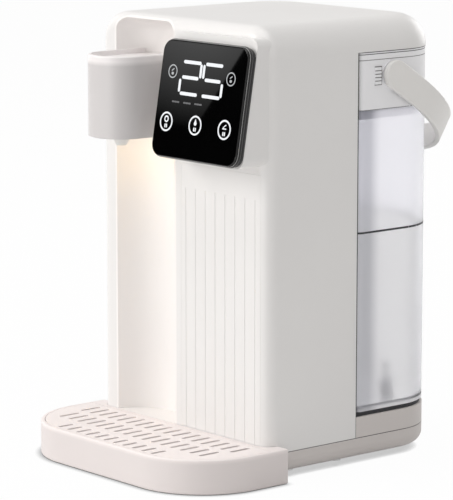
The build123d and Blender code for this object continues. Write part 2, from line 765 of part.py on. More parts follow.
def make_heater():
    low_cap = heater_bottom - cap_height
    high = heater_bottom + heater_length
    outlet_top = spigot_z + pump_head_radius + outlet_pipe
    tube = post(spigot_x, line_y, heater_bottom, high, heater_radius)
    pieces["heater_tube"] = tube - post(spigot_x, line_y, 0, body_height, heater_radius - heater_wall)
    cap_radius = heater_radius + cap_overlap
    low = post(spigot_x, line_y, low_cap, heater_bottom, cap_radius)
    low = low + post(spigot_x, line_y, low_cap - outlet_pipe, low_cap, pipe_radius)
    high_cap = post(spigot_x, line_y, high, high + cap_height, cap_radius)
    high_cap = high_cap + post(spigot_x, line_y, high + cap_height, high + cap_height + outlet_pipe,
                               pipe_radius)
    water_way = post(spigot_x, line_y, 0, body_height, pipe_bore)
    pieces["heater_cap_lower"] = low - water_way
    probe_x = spigot_x - heater_radius + 3 * probe_radius
    probe_low = high + cap_height / 2
    probe = post(probe_x, line_y, probe_low, probe_low + probe_length, probe_radius)
    pieces["heater_cap_upper"] = high_cap - water_way - post(probe_x, line_y, probe_low, body_height,
                                                             probe_radius + fit_gap)
    pieces["temperature_probe"] = probe
    middle = heater_bottom + clamp_rise
    ring = post(spigot_x, line_y, middle - clamp_height / 2, middle + clamp_height / 2,
                heater_radius + clamp_thick)
    arm = slab(spigot_x - clamp_height / 2, spigot_x + clamp_height / 2, line_y, bay_wall_front,
               middle - clamp_height / 2, middle + clamp_height / 2)
    foot = slab(spigot_x - heater_radius, spigot_x + heater_radius, bay_wall_front - clamp_thick,
                bay_wall_front,
                middle - clamp_height / 2, middle + clamp_height / 2)
    pieces["heater_clamp"] = ring + arm + foot - post(spigot_x, line_y, 0, body_height,
                                                      heater_radius + fit_gap)
    cut_z = high - cutout_drop
    face_y = line_y - heater_radius - fit_gap
    pieces["thermal_cutout"] = slab(spigot_x - cutout_size / 2, spigot_x + cutout_size / 2,
                                    face_y - cutout_thick, face_y,
                                    cut_z - cutout_size / 2, cut_z + cutout_size / 2)
    riser = post(spigot_x, line_y, spigot_z + pump_head_radius + fit_gap, low_cap - fit_gap, hose_outer)
    pieces["riser_hose"] = riser - post(spigot_x, line_y, 0, body_height, pipe_sleeve)
    start = high + cap_height + fit_gap
    end = spout_bottom + spout_wall + light_thick + fit_gap
    points = [(spigot_x, line_y, start), (spigot_x, line_y, hot_level), (spout_x, line_y, hot_level),
              (spout_x, spout_y, hot_level), (spout_x, spout_y, end)]
    route = FilletPolyline(*points, radius=hot_bend)
    section = Plane(origin=points[0], z_dir=(0, 0, 1)) * (Circle(hose_outer) - Circle(pipe_sleeve))
    hose = sweep(section, path=route)
    ring_area = math.pi * (hose_outer ** 2 - pipe_sleeve ** 2)
    print("hot hose: length", round(route.length, 1), "bend radius", hot_bend, "volume ratio",
          round(hose.volume / (ring_area * route.length), 4))
    pieces["hot_hose"] = hose


def make_electrics():
    inner = half_width - wall - seat_gap
    bay = slab(-inner, inner, bay_wall_front, seam_depth, base_top + seat_gap, canopy_bottom)
    bay = bay - rod_y(spigot_x, spigot_z, 0, body_depth, socket_radius + fit_gap)
    board_rear = board_face + board_thick
    spots = [(x, z) for x in (board_left + standoff_inset, board_right - standoff_inset)
             for z in (board_bottom + standoff_inset, board_top - standoff_inset)]
    board = slab(board_left, board_right, board_face, board_rear, board_bottom, board_top)
    screws = []
    for x, z in spots:
        bay = bay + rod_y(x, z, board_rear, bay_wall_front, standoff_radius)
        bay = bay - rod_y(x, z, board_rear, board_face + board_screw_grip + overrun,
                          board_screw_radius + fit_gap)
        board = board - rod_y(x, z, 0, body_depth, board_screw_radius + screw_clear)
        head = rod_y(x, z, board_face - board_screw_head_height, board_face, board_screw_head)
        screws.append(head + rod_y(x, z, board_face, board_face + board_screw_grip, board_screw_radius))
    pieces["bay_wall"] = bay
    pieces["power_board"] = board
    pieces["board_screws"] = screws
    mid_x = (board_left + board_right) / 2
    mid_z = (board_bottom + board_top) / 2
    relays = []
    for side in (-1, 1):
        x = mid_x + side * relay_width
        relays.append(slab(x - relay_width / 2, x + relay_width / 2, board_rear, board_rear + relay_height,
                           mid_z - relay_length / 2, mid_z + relay_length / 2))
    pieces["board_relays"] = relays
    coil_z = mid_z + relay_length + coil_radius
    pieces["board_coil"] = rod_y(mid_x, coil_z, board_rear, board_rear + relay_height, coil_radius)


def write_pieces():
    os.makedirs("parts", exist_ok=True)
    for name, shape in pieces.items():
        solids = shape if isinstance(shape, list) else [shape]
        moved = [Pos(0, y_shift, 0) * solid for each in solids for solid in each.solids()]
        whole = moved[0] if len(moved) == 1 else Compound(children=moved)
        export_step(whole, "parts/" + name + ".step")


make_housing()
make_base()
make_front()
make_panel()
make_spout()
make_tank()
make_dock()
make_spigot()
make_float()
make_bail()
make_tray()
make_pump()
make_heater()
make_electrics()
write_pieces()
print("pieces", len(pieces), "y shift", round(y_shift, 3))
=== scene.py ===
import bpy
import json
import math
import numpy as np
from mathutils import Matrix, Vector


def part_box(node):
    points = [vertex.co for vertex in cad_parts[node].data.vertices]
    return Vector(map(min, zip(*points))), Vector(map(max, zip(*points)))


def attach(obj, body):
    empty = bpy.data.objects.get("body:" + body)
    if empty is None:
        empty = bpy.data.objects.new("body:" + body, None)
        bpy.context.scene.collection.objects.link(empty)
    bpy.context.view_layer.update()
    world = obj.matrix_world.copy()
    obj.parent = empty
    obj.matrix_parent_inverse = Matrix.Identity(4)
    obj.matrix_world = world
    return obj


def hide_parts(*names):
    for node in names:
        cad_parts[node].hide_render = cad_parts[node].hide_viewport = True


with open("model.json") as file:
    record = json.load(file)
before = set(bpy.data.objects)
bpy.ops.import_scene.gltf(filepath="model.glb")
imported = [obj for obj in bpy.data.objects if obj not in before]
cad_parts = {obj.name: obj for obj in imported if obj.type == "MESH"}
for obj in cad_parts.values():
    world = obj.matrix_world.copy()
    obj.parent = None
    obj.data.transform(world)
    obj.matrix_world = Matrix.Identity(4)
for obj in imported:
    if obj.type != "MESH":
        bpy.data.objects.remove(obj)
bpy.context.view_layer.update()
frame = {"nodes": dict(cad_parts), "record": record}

nodes = frame["nodes"]
scene = bpy.context.scene
scene.view_settings.view_transform = "Standard"
mm = 0.001
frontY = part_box("front_fascia")[0].y  # front plane of the body, metres
print("frame loaded,", len(nodes), "nodes, front plane at", round(frontY, 4))


def fromFront(place):
    # a place in metres, with Y counted from the body's front plane, as a place in the frame
    x, y, z = place
    return Vector((x, y + frontY, z))


# camera, placed by the angle the photograph was taken from

cameraFacts = {"azimuth": 49.86, "elevation": 9.67, "distance": 1.97367, "lens": 211.83,
               "aim": (-0.02556, 0.060, 0.12951), "sensor": 36.0, "clip": (0.05, 50.0)}


def placeCamera(facts):
    # the camera stands back from the aim along the viewing angle and looks at it
    azimuth = math.radians(facts["azimuth"])
    elevation = math.radians(facts["elevation"])
    level = math.cos(elevation)
    back = Vector((math.sin(azimuth) * level, -math.cos(azimuth) * level, math.sin(elevation)))
    data = bpy.data.cameras.new("photoCamera")
    data.lens = facts["lens"]
    data.sensor_width = facts["sensor"]
    data.clip_start, data.clip_end = facts["clip"]
    cam = bpy.data.objects.new("photoCamera", data)
    scene.collection.objects.link(cam)
    cam.location = fromFront(facts["aim"]) + back * facts["distance"]
    cam.rotation_mode = "QUATERNION"
    cam.rotation_quaternion = (-back).to_track_quat("-Z", "Y")
    scene.camera = cam


placeCamera(cameraFacts)
print("camera placed")


# node helpers for the studio and the materials

def mathStep(tree, operation, *values):
    # one Math node; each value is a socket to link or a plain number
    step = tree.nodes.new("ShaderNodeMath")
    step.operation = operation
    for value, socket in zip(values, step.inputs):
        if isinstance(value, bpy.types.NodeSocket):
            tree.links.new(value, socket)
        else:
            socket.default_value = value
    return step.outputs[0]


def mixShaders(tree, share, first, second):
    # the first shader where the share is 0, the second where it is 1
    mix = tree.nodes.new("ShaderNodeMixShader")
    for value, socket in zip((share, first, second), mix.inputs):
        tree.links.new(value, socket)
    return mix.outputs[0]


def seenRays(tree, glossShare):
    # 1 for rays from the camera or through clear surfaces, a share for those from mirror-like ones, else 0
    path = tree.nodes.new("ShaderNodeLightPath")
    seen = mathStep(tree, "MULTIPLY", path.outputs["Is Glossy Ray"], glossShare)
    for kind in ("Is Camera Ray", "Is Transmission Ray"):
        seen = mathStep(tree, "MAXIMUM", seen, path.outputs[kind])
    return seen


# floor and sky: a plain light for the object, and a white background for the rays that see it

stageFacts = {"floorSize": 6.0, "floorDrop": 0.0002, "floorColour": (0.83, 0.83, 0.83, 1), "floorLift": 0.97,
              "contactReach": 0.005, "contactSamples": 8, "glossShare": 0.35,
              "sky": {"colour": (1.0, 0.985, 0.97, 1), "strength": 0.50},
              "backdrop": {"colour": (1, 1, 1, 1), "strength": 1.0}}


def studioSheet(name, corners):
    # one flat face with four corners, and the nodes of its own material
    mesh = bpy.data.meshes.new(name)
    mesh.from_pydata(corners, [], [(0, 1, 2, 3)])
    sheet = bpy.data.objects.new(name, mesh)
    scene.collection.objects.link(sheet)
    mat = bpy.data.materials.new(name)
    mat.use_nodes = True
    mesh.materials.append(mat)
    return sheet, mat.node_tree


def makeFloor(facts):
    half = facts["floorSize"] / 2
    corners = [(-half, -half, 0), (half, -half, 0), (half, half, 0), (-half, half, 0)]
    floor, tree = studioSheet("studioFloor", corners)
    floor.location.z = -facts["floorDrop"]
    tree.nodes.clear()
    out = tree.nodes.new("ShaderNodeOutputMaterial")
    diffuse = tree.nodes.new("ShaderNodeBsdfDiffuse")
    diffuse.inputs["Color"].default_value = facts["floorColour"]
    glow = tree.nodes.new("ShaderNodeEmission")
    contact = tree.nodes.new("ShaderNodeAmbientOcclusion")  # thin shadow where the object meets the floor
    contact.samples = facts["contactSamples"]
    contact.inputs["Distance"].default_value = facts["contactReach"]
    tree.links.new(contact.outputs["Color"], glow.inputs["Color"])
    share = mathStep(tree, "MULTIPLY", seenRays(tree, facts["glossShare"]), facts["floorLift"])
    tree.links.new(mixShaders(tree, share, diffuse.outputs[0], glow.outputs[0]), out.inputs["Surface"])


def makeSky(facts):
    world = bpy.data.worlds.new("studioSky")
    scene.world = world
    world.use_nodes = True
    tree = world.node_tree
    tree.nodes.clear()
    out = tree.nodes.new("ShaderNodeOutputWorld")
    lights = []
    for kind in ("sky", "backdrop"):
        light = tree.nodes.new("ShaderNodeBackground")
        light.inputs["Color"].default_value = facts[kind]["colour"]
        light.inputs["Strength"].default_value = facts[kind]["strength"]
        lights.append(light.outputs[0])
    share = seenRays(tree, facts["glossShare"])
    tree.links.new(mixShaders(tree, share, *lights), out.inputs["Surface"])


makeFloor(stageFacts)
makeSky(stageFacts)


# lamps: soft rectangles, each turned towards its aim

lampFacts = {
    "keyLamp": {"place": (-1.2, -1.95, 1.25), "aim": (0, 0, 0.15), "size": (1.3, 1.3), "watts": 29,
                "colour": (1.0, 0.985, 0.965)},
    "topLamp": {"place": (0.1, -0.2, 2.2), "aim": (0, 0, 0.2), "size": (1.4, 1.4), "watts": 12.5,
                "colour": (1.0, 1.0, 1.0)},
    "lowLamp": {"place": (0.2, -1.9, 0.14), "aim": (-0.03, -0.06, 0.25), "size": (0.9, 0.25), "watts": 3,
                "colour": (1.0, 0.99, 0.98)},
    "rimLamp": {"place": (-1.8, -0.1, 0.5), "aim": (-0.05, -0.08, 0.2), "size": (0.4, 1.2), "watts": 2.5,
                "colour": (1.0, 1.0, 1.0)},
    "edgeLamp": {"place": (2.0, -0.15, 0.75), "aim": (0.05, -0.05, 0.2), "size": (0.35, 1.1), "watts": 1.2,
                 "colour": (1.0, 0.985, 0.97)},
    "backLamp": {"place": (-0.5, 2.0, 0.6), "aim": (0, 0.08, 0.15), "size": (1.2, 0.9), "watts": 8,
                 "colour": (1.0, 1.0, 1.0)},
}


def addLamp(name, place, facts):
    data = bpy.data.lights.new(name, "AREA")
    data.shape = "RECTANGLE"
    data.size, data.size_y = facts["size"]
    data.energy = facts["watts"]
    data.color = facts["colour"]
    lamp = bpy.data.objects.new(name, data)
    scene.collection.objects.link(lamp)
    lamp.location = place
    lamp.rotation_mode = "QUATERNION"
    return lamp


for lampName, facts in lampFacts.items():
    lamp = addLamp(lampName, facts["place"], facts)
    lamp.rotation_quaternion = (Vector(facts["aim"]) - Vector(facts["place"])).to_track_quat("-Z", "Y")

# gridded strip box whose slanting edge and fall-off the panel mirrors; heading and along are directions
panelLampFacts = {"place": (-0.7474, -0.3797, 0.4018), "heading": (0.76645, 0.62897, -0.13019),
                  "along": (0.2608, -0.1702, 0.9503), "size": (0.5, 0.8), "spread": 5.0, "watts": 0.0014,
                  "colour": (1.0, 1.0, 1.0)}


def addPanelLamp(facts):
    away = -Vector(facts["heading"]).normalized()
    along = Vector(facts["along"])
    along = (along - along.dot(away) * away).normalized()
    lamp = addLamp("panelLamp", fromFront(facts["place"]), facts)
    lamp.rotation_quaternion = Matrix((along.cross(away), along, away)).transposed().to_quaternion()
    lamp.data.spread = math.radians(facts["spread"])


addPanelLamp(panelLampFacts)

flagFacts = {"corners": [(-0.930, -0.152, 0.978), (-0.106, -1.204, 0.562),
                         (-0.346, -1.047, -0.312), (-1.170, 0.005, 0.103)]}


def addFlag(facts):
    # black studio card that only mirror-like surfaces see, so that the panel stays dark
    flag, tree = studioSheet("studioFlag", [fromFront(corner) for corner in facts["corners"]])
    shader = tree.nodes["Principled BSDF"]
    shader.inputs["Base Color"].default_value = (0, 0, 0, 1)
    shader.inputs["Specular IOR Level"].default_value = 0.0
    flag.visible_camera = False
    flag.visible_diffuse = False
    flag.visible_shadow = False
    flag.visible_transmission = False


addFlag(flagFacts)
print("stage and lamps set")


# steps that the materials share, all worked out from Object coordinates

def startMaterial(name):
    mat = bpy.data.materials.new(name)
    mat.use_nodes = True
    tree = mat.node_tree
    bsdf = tree.nodes["Principled BSDF"]
    coord = tree.nodes.new("ShaderNodeTexCoord").outputs["Object"]
    return mat, tree, bsdf, coord


def splitPlace(tree, coord):
    # the place's X, Y and Z in metres
    split = tree.nodes.new("ShaderNodeSeparateXYZ")
    tree.links.new(coord, split.inputs[0])
    return split.outputs


def speckle(tree, coord, scale, detail):
    # cloudy noise, finer with a larger scale
    noise = tree.nodes.new("ShaderNodeTexNoise")
    noise.inputs["Scale"].default_value = scale
    noise.inputs["Detail"].default_value = detail
    tree.links.new(coord, noise.inputs["Vector"])
    return noise.outputs["Fac"]


def mixColours(tree, factor, first, second, ends=(0.3, 0.7)):
    # the first colour below the lower end of the factor, the second above the upper end
    ramp = tree.nodes.new("ShaderNodeValToRGB")
    for stop, colour, place in zip(ramp.color_ramp.elements, (first, second), ends):
        stop.color = (*colour, 1)
        stop.position = place
    tree.links.new(factor, ramp.inputs["Fac"])
    return ramp.outputs["Color"]


def spread(tree, value, low, high, start=0.0, end=1.0, shape="LINEAR"):
    # a value that goes from start to end made to go from low to high
    span = tree.nodes.new("ShaderNodeMapRange")
    span.interpolation_type = shape
    for label, setting in (("From Min", start), ("From Max", end), ("To Min", low), ("To Max", high)):
        span.inputs[label].default_value = setting
    tree.links.new(value, span.inputs["Value"])
    return span.outputs["Result"]


# moulded plastics, by slot; a skirt is painted shade: the colour is darkened below a height in metres, under
# a lighter top

mouldFacts = {"cloudScale": 9.0, "wanderScale": 38.0, "detail": 3.0, "grainDetail": 1.0,
              "grainDepth": 0.0003, "paintedShadeBlend": 0.003}
spoutDish = 0.0035  # a little more than the depth of the dish in the spout's top, metres
plasticFacts = {
    "white_shell": {"name": "whiteShell", "light": (0.84, 0.83, 0.82), "shade": (0.82, 0.808, 0.80),
                    "rough": (0.30, 0.42), "grain": 0.03},
    # spout: the lighter top and darker pinkish walls are painted light and painted shade
    "spout_white": {"name": "spoutWhitePaintedShade", "light": (0.90, 0.87, 0.87), "shade": (0.875, 0.84, 0.84),
                    "rough": (0.30, 0.42), "grain": 0.03,
                    "paintedShadeSkirt": {"paintedShadeScale": 0.73, "top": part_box("spout_head")[1].z - spoutDish}},
    "collar_white": {"name": "collarWhite", "light": (0.93, 0.93, 0.95), "shade": (0.91, 0.91, 0.93),
                     "rough": (0.30, 0.42), "grain": 0.03},
    # the base's darker, pinker white is painted shade on the same white plastic as the shell
    "base_white": {"name": "baseWhitePaintedShade", "light": (0.67, 0.63, 0.61), "shade": (0.65, 0.61, 0.59),
                   "rough": (0.34, 0.46), "grain": 0.04},
    # tray: the pinkish tint and darker walls below the rim are painted shade
    "tray_white": {"name": "trayWhitePaintedShade", "light": (0.93, 0.865, 0.852), "shade": (0.91, 0.845, 0.832),
                   "rough": (0.42, 0.55), "grain": 0.06, "paintedShadeSkirt": {"paintedShadeScale": 0.82, "top": 0.0225}},
    "bail_grey": {"name": "bailGrey", "light": (0.86, 0.85, 0.83), "shade": (0.84, 0.825, 0.805),
                  "rough": (0.36, 0.48), "grain": 0.04},
    "dark_trim": {"name": "darkTrim", "light": (0.010, 0.010, 0.011), "shade": (0.006, 0.006, 0.007),
                  "rough": (0.16, 0.26)},
    "dark_rubber": {"name": "darkRubber", "light": (0.045, 0.045, 0.05), "shade": (0.03, 0.03, 0.034),
                    "rough": (0.6, 0.8), "grain": 0.2, "grainScale": 500},
    "silicone": {"name": "milkySilicone", "light": (0.80, 0.80, 0.78), "shade": (0.74, 0.74, 0.72),
                 "rough": (0.3, 0.45), "grain": 0.05},
    "white_fitting": {"name": "whiteFitting", "light": (0.95, 0.95, 0.95), "shade": (0.92, 0.92, 0.92),
                      "rough": (0.35, 0.5), "grain": 0.04},
    "black_part": {"name": "blackPart", "light": (0.05, 0.05, 0.05), "shade": (0.035, 0.035, 0.035),
                   "rough": (0.4, 0.55), "grain": 0.06},
    "heater_cap": {"name": "heaterCap", "light": (0.22, 0.19, 0.17), "shade": (0.18, 0.16, 0.14),
                   "rough": (0.45, 0.6), "grain": 0.06},
}
# a brighter, warmer copy of the white shell: painted light in the shaded niche and on the bay wall
paintedLightLinerFacts = {"name": "linerPaintedLight", "light": (0.93, 0.905, 0.89), "shade": (0.91, 0.885, 0.87),
              "rough": (0.32, 0.44), "grain": 0.03}


def mouldedPlastic(name, light, shade, rough, grain=0.02, grainScale=900, paintedShadeSkirt=None):
    # cloudy colour, roughness that wanders a little, and fine moulded grain as bump
    mat, tree, bsdf, coord = startMaterial(name)
    cloud = speckle(tree, coord, mouldFacts["cloudScale"], mouldFacts["detail"])
    tone = mixColours(tree, cloud, shade, light)
    # painted shade: below the top height the colour is scaled down, so the walls under a lighter top look
    # shaded
    if paintedShadeSkirt:
        height = splitPlace(tree, coord)["Z"]
        top = paintedShadeSkirt["top"]
        rise = spread(tree, height, paintedShadeSkirt["paintedShadeScale"], 1.0, top - mouldFacts["paintedShadeBlend"], top)
        weaken = tree.nodes.new("ShaderNodeVectorMath")
        weaken.operation = "SCALE"
        tree.links.new(tone, weaken.inputs[0])
        tree.links.new(rise, weaken.inputs["Scale"])
        tone = weaken.outputs[0]
    tree.links.new(tone, bsdf.inputs["Base Color"])
    wander = speckle(tree, coord, mouldFacts["wanderScale"], mouldFacts["detail"])
    tree.links.new(spread(tree, wander, *rough), bsdf.inputs["Roughness"])
    bump = tree.nodes.new("ShaderNodeBump")
    bump.inputs["Strength"].default_value = grain
    bump.inputs["Distance"].default_value = mouldFacts["grainDepth"]
    tree.links.new(speckle(tree, coord, grainScale, mouldFacts["grainDetail"]), bump.inputs["Height"])
    tree.links.new(bump.outputs["Normal"], bsdf.inputs["Normal"])
    return mat


# clear plastics, metres: sideBand is where the side walls start, paintedShadeDepth is counted from the front
# plane; the shade colour near the housing is painted shade

clearFacts = {"sideBand": (0.070, 0.080), "edgeBlend": 0.18, "wanderScale": 60.0, "detail": 2.0,
              "floorBlend": 0.001, "lampTint": (0.94, 0.94, 0.95, 1)}
tankFacts = {"name": "clearTank", "tint": (0.98, 0.976, 1.0), "shade": (0.60, 0.60, 0.635),
             "edge": (0.84, 0.84, 0.87), "rough": (0.30, 0.40), "paintedShadeDepth": (0.076, 0.110),
             "milk": 0.03, "floorMilk": 0.85, "floorTop": 0.036, "bend": 1.25}
floatFacts = {"name": "milkyFloat", "tint": (0.97, 0.97, 0.98), "shade": (0.95, 0.95, 0.97),
              "edge": (0.90, 0.90, 0.92), "rough": (0.40, 0.55), "paintedShadeDepth": (0.078, 0.104),
              "milk": 0.4, "floorMilk": 0.4, "floorTop": 0.036, "bend": 1.15}


def clearTone(tree, coord, facts):
    # side walls carry painted shade that greys them towards the housing, front and rear keep the tint, and
    # all are darker edge on
    place = splitPlace(tree, coord)
    near, far = facts["paintedShadeDepth"]
    depth = spread(tree, place["Y"], 0.0, 1.0, near + frontY, far + frontY, "SMOOTHSTEP")
    aside = mathStep(tree, "ABSOLUTE", place["X"])
    inner = spread(tree, aside, 1.0, 0.0, *clearFacts["sideBand"])
    colour = mixColours(tree, mathStep(tree, "MAXIMUM", depth, inner), facts["shade"], facts["tint"])
    facing = tree.nodes.new("ShaderNodeLayerWeight")
    facing.inputs["Blend"].default_value = clearFacts["edgeBlend"]
    darken = tree.nodes.new("ShaderNodeMix")
    darken.data_type = "RGBA"  # its colours are inputs 6 and 7 and output 2
    tree.links.new(facing.outputs["Facing"], darken.inputs[0])
    tree.links.new(colour, darken.inputs[6])
    darken.inputs[7].default_value = (*facts["edge"], 1)
    return darken.outputs[2]


def letLampsThrough(tree, bsdf):
    # lamp light passes straight through, so that what stands inside and behind is lit
    path = tree.nodes.new("ShaderNodeLightPath")
    through = tree.nodes.new("ShaderNodeBsdfTransparent")
    through.inputs["Color"].default_value = clearFacts["lampTint"]
    both = mixShaders(tree, path.outputs["Is Shadow Ray"], bsdf.outputs[0], through.outputs[0])
    tree.links.new(both, tree.nodes["Material Output"].inputs["Surface"])


def clearPlastic(facts):
    # see-through plastic that is faintly milky, and milkier below floorTop
    mat, tree, bsdf, coord = startMaterial(facts["name"])
    tree.links.new(clearTone(tree, coord, facts), bsdf.inputs["Base Color"])
    wander = speckle(tree, coord, clearFacts["wanderScale"], clearFacts["detail"])
    tree.links.new(spread(tree, wander, *facts["rough"]), bsdf.inputs["Roughness"])
    height = splitPlace(tree, coord)["Z"]
    floorTop = facts["floorTop"]
    clear = spread(tree, height, 1 - facts["floorMilk"], 1 - facts["milk"],
                   floorTop, floorTop + clearFacts["floorBlend"])
    tree.links.new(clear, bsdf.inputs["Transmission Weight"])
    bsdf.inputs["IOR"].default_value = facts["bend"]
    letLampsThrough(tree, bsdf)
    return mat


# black glass, lit marks, steel and circuit boards

glassFacts = {"name": "blackGlass", "smearScale": 26.0, "detail": 4.0, "dark": (0.0008, 0.0008, 0.0009),
              "light": (0.0015, 0.0015, 0.0016), "rough": (0.01, 0.03)}


def blackGlassLook(facts):
    # polished black with faint smears in its gloss
    mat, tree, bsdf, coord = startMaterial(facts["name"])
    smear = speckle(tree, coord, facts["smearScale"], facts["detail"])
    tree.links.new(mixColours(tree, smear, facts["dark"], facts["light"]), bsdf.inputs["Base Color"])
    tree.links.new(spread(tree, smear, *facts["rough"]), bsdf.inputs["Roughness"])
    return mat


litFacts = {"cloudScale": 160.0, "detail": 1.0, "dim": 0.93, "base": (0.02, 0.02, 0.02, 1), "rough": 0.3}
lensFacts = {"name": "warmLens", "colour": (1.0, 0.69, 0.29), "strength": 31.0}


def litMark(name, colour, strength):
    # a lit patch, a little brighter in places, as a lamp behind a mask
    mat, tree, bsdf, coord = startMaterial(name)
    cloud = speckle(tree, coord, litFacts["cloudScale"], litFacts["detail"])
    tone = mixColours(tree, cloud, tuple(litFacts["dim"] * part for part in colour), colour)
    tree.links.new(tone, bsdf.inputs["Emission Color"])
    bsdf.inputs["Emission Strength"].default_value = strength
    bsdf.inputs["Base Color"].default_value = litFacts["base"]
    bsdf.inputs["Roughness"].default_value = litFacts["rough"]
    return mat


steelFacts = {"name": "plainSteel", "stretch": (3, 3, 900), "lineScale": 6.0, "detail": 2.0,
              "dark": (0.5, 0.5, 0.5), "light": (0.66, 0.66, 0.65), "rough": (0.22, 0.4)}


def brushedSteel(facts):
    # fine lines round the upright axis
    mat, tree, bsdf, coord = startMaterial(facts["name"])
    stretch = tree.nodes.new("ShaderNodeMapping")
    stretch.inputs["Scale"].default_value = facts["stretch"]
    tree.links.new(coord, stretch.inputs["Vector"])
    lines = speckle(tree, stretch.outputs["Vector"], facts["lineScale"], facts["detail"])
    tree.links.new(mixColours(tree, lines, facts["dark"], facts["light"]), bsdf.inputs["Base Color"])
    tree.links.new(spread(tree, lines, *facts["rough"]), bsdf.inputs["Roughness"])
    bsdf.inputs["Metallic"].default_value = 1.0
    return mat


boardFacts = {"name": "circuitBoard", "cellScale": 180.0, "vein": (0.10, 0.30, 0.13),
              "ground": (0.03, 0.16, 0.06), "veinEnds": (0.03, 0.06), "rough": 0.4}


def boardLook(facts):
    # green board with paler veins of copper track
    mat, tree, bsdf, coord = startMaterial(facts["name"])
    cells = tree.nodes.new("ShaderNodeTexVoronoi")
    cells.feature = "DISTANCE_TO_EDGE"
    cells.inputs["Scale"].default_value = facts["cellScale"]
    tree.links.new(coord, cells.inputs["Vector"])
    tone = mixColours(tree, cells.outputs["Distance"], facts["vein"], facts["ground"], facts["veinEnds"])
    tree.links.new(tone, bsdf.inputs["Base Color"])
    bsdf.inputs["Roughness"].default_value = facts["rough"]
    return mat


# finishes on the nodes, by slot, and the nodes that have a look of their own

finishes = {slotName: mouldedPlastic(**facts) for slotName, facts in plasticFacts.items()}
finishes["black_glass"] = blackGlassLook(glassFacts)
finishes["clear_tank"] = clearPlastic(tankFacts)
finishes["light_lens"] = litMark(**lensFacts)
finishes["circuit_board"] = boardLook(boardFacts)
finishes["steel"] = brushedSteel(steelFacts)
slotOf = {part["node"]: part["material_slot"] for part in frame["record"]["subparts"]}
for nodeName, obj in nodes.items():
    obj.data.materials.clear()
    obj.data.materials.append(finishes[slotOf[nodeName]])
paintedLightLinerLook = mouldedPlastic(**paintedLightLinerFacts)
milkyFloat = clearPlastic(floatFacts)
# painted light: the niche liner and bay wall take the brighter, warmer liner look
ownLooks = {"niche_liner": paintedLightLinerLook, "bay_wall": paintedLightLinerLook,
            "level_float": milkyFloat, "float_guide": milkyFloat}
for nodeName, look in ownLooks.items():
    nodes[nodeName].data.materials[0] = look
nodes["handle_bail"].visible_transmission = False  # the frosted tank hides what hangs behind it
print("finishes on", len(slotOf), "nodes")


# mesh helpers: points are whole arrays, in millimetres until they are put in the frame

def toFrame(points):
    # millimetres, with Y counted from the body's front plane, to metres in the frame
    place = np.asarray(points, float) * mm
    place[..., 1] += frontY
    return place


def withRise(flat, rise):
    # flat points (rows, columns, 2), each column at its own height
    tall = np.broadcast_to(np.asarray(rise, float)[None, :, None], flat.shape[:2] + (1,))
    return np.concatenate([flat, tall], -1)


def circleWay(angle):
    # the direction at each angle, as points on a circle of radius 1
    return np.stack([np.cos(angle), np.sin(angle)], -1)


def gridMesh(name, points, closed, body, slotName, standsFor=(), material=None, smooth=True, flip=False):
    # points is (rows, columns, 3): a section in columns, carried round in rows; closed joins its ends
    rows, cols = points.shape[:2]
    a, b = np.meshgrid(np.arange(rows), np.arange(cols if closed else cols - 1), indexing="ij")
    a1 = (a + 1) % rows
    b1 = (b + 1) % cols
    quads = np.stack([a * cols + b, a1 * cols + b, a1 * cols + b1, a * cols + b1], -1).reshape(-1, 4)
    if flip:
        quads = quads[:, ::-1]
    facesMesh(name, points.reshape(-1, 3), quads.tolist(), body, slotName, standsFor, material, smooth)


def facesMesh(name, points, faces, body, slotName, standsFor=(), material=None, smooth=True):
    mesh = bpy.data.meshes.new(name)
    mesh.from_pydata(points.tolist(), [], faces)
    mesh.polygons.foreach_set("use_smooth", [smooth] * len(mesh.polygons))
    mesh.update()
    obj = bpy.data.objects.new(name, mesh)
    scene.collection.objects.link(obj)
    mesh.materials.append(material or finishes[slotName])
    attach(obj, body)
    if standsFor:
        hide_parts(*standsFor)


def roundedOutline(halfWide, low, high, lowRound, highRound, steps=14):
    # rounded rectangle, counter-clockwise: points and outward normals of quarter arcs and straight runs
    centres = np.array([(halfWide - lowRound, low + lowRound), (halfWide - highRound, high - highRound),
                        (highRound - halfWide, high - highRound), (lowRound - halfWide, low + lowRound)])
    radii = np.array([lowRound, highRound, highRound, lowRound])
    starts = np.radians([-90, 0, 90, 180])
    normals = circleWay(starts[:, None] + np.radians(np.linspace(0, 90, steps)))
    points = centres[:, None] + radii[:, None, None] * normals
    return points.reshape(-1, 2), normals.reshape(-1, 2)


# touch panel: three rounded layers on the tilted plane, millimetres

panelFacts = {"centre": (41.6, -19.2, 241.5), "tilt": 9.6, "size": (83.4, 74.9), "corner": 8.0,
              "outlineSteps": 16, "edgeSteps": 6, "edgeMargin": 0.2, "innerShrink": 0.6}
layerFacts = {
    "panelGlass": {"depth": 0.0, "thick": 1.6, "grow": 0.0, "edgeRound": 0.7, "slot": "black_glass",
                   "standsFor": ("panel_glass",)},
    "panelFrame": {"depth": 1.6, "thick": 2.4, "grow": 0.7, "edgeRound": 0.8, "slot": "dark_trim",
                   "standsFor": ("panel_frame",)},
    "panelCase": {"depth": 4.0, "thick": 3.0, "grow": 0.0, "edgeRound": 0.9, "slot": "dark_trim",
                  "standsFor": ("panel_case",)},
}
tiltSine = math.sin(math.radians(panelFacts["tilt"]))
tiltCosine = math.cos(math.radians(panelFacts["tilt"]))


def onPanel(flat):
    # x and y on the glass and height over it, in millimetres, to metres in the frame
    x, y, h = flat[..., 0], flat[..., 1], flat[..., 2]
    cx, cy, cz = panelFacts["centre"]
    level = cy + y * tiltSine - h * tiltCosine
    upright = cz + y * tiltCosine + h * tiltSine
    return toFrame(np.stack([cx + x, level, upright], -1))


def panelOutline(grow):
    # the glass outline moved outwards by grow
    wide, tall = panelFacts["size"]
    corner = panelFacts["corner"] + grow
    return roundedOutline(wide / 2 + grow, -tall / 2 - grow, tall / 2 + grow, corner, corner,
                          panelFacts["outlineSteps"])


